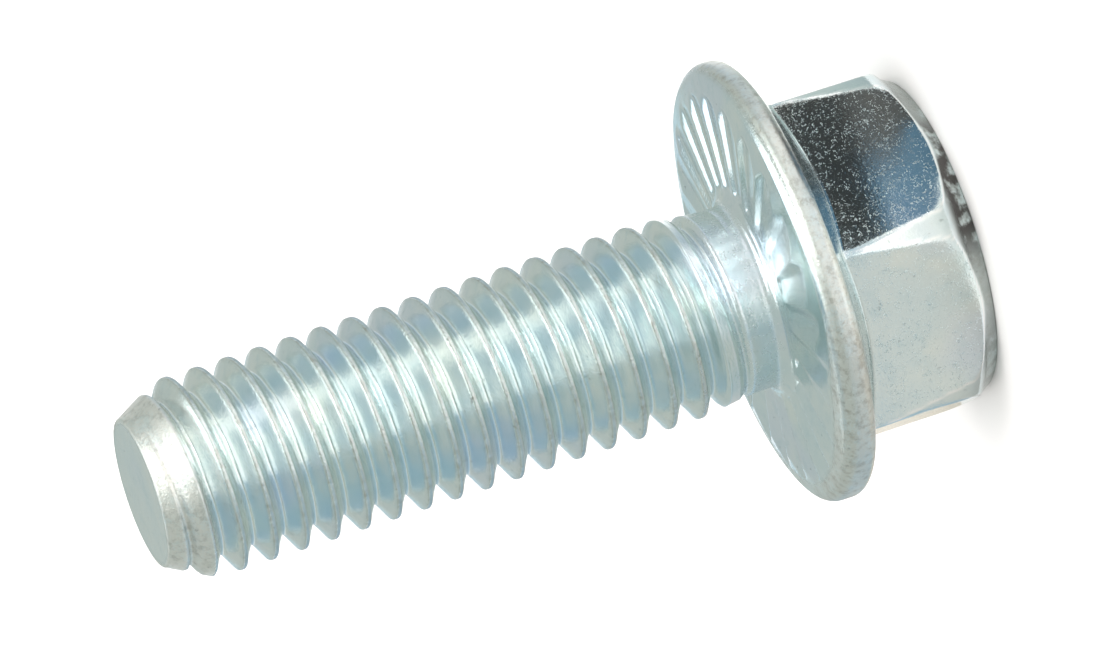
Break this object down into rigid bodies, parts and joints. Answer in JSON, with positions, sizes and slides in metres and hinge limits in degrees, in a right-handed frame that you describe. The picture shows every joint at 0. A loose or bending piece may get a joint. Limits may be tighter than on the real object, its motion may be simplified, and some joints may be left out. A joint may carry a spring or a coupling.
{
  "type": "flange bolt",
  "caption": "Hexagon flange bolt with a serrated bearing face, a short plain neck and a fully threaded shank with a chamfered point.",
  "frame": {"origin": "the shank's axis in the plane of the flange's bearing face", "axes": "+Z along the shank from the bearing face to the point; the head hangs below z = 0, with two of its flats facing +X and -X"},
  "size_m": [0.0175, 0.0174, 0.0325],
  "materials": {
    "zinc_plate": "bright zinc plating with a thin blue passivation, slightly mottled"
  },
  "bodies": {
    "root": {"flange_bolt": "zinc_plate"}
  },
  "joints": []
}
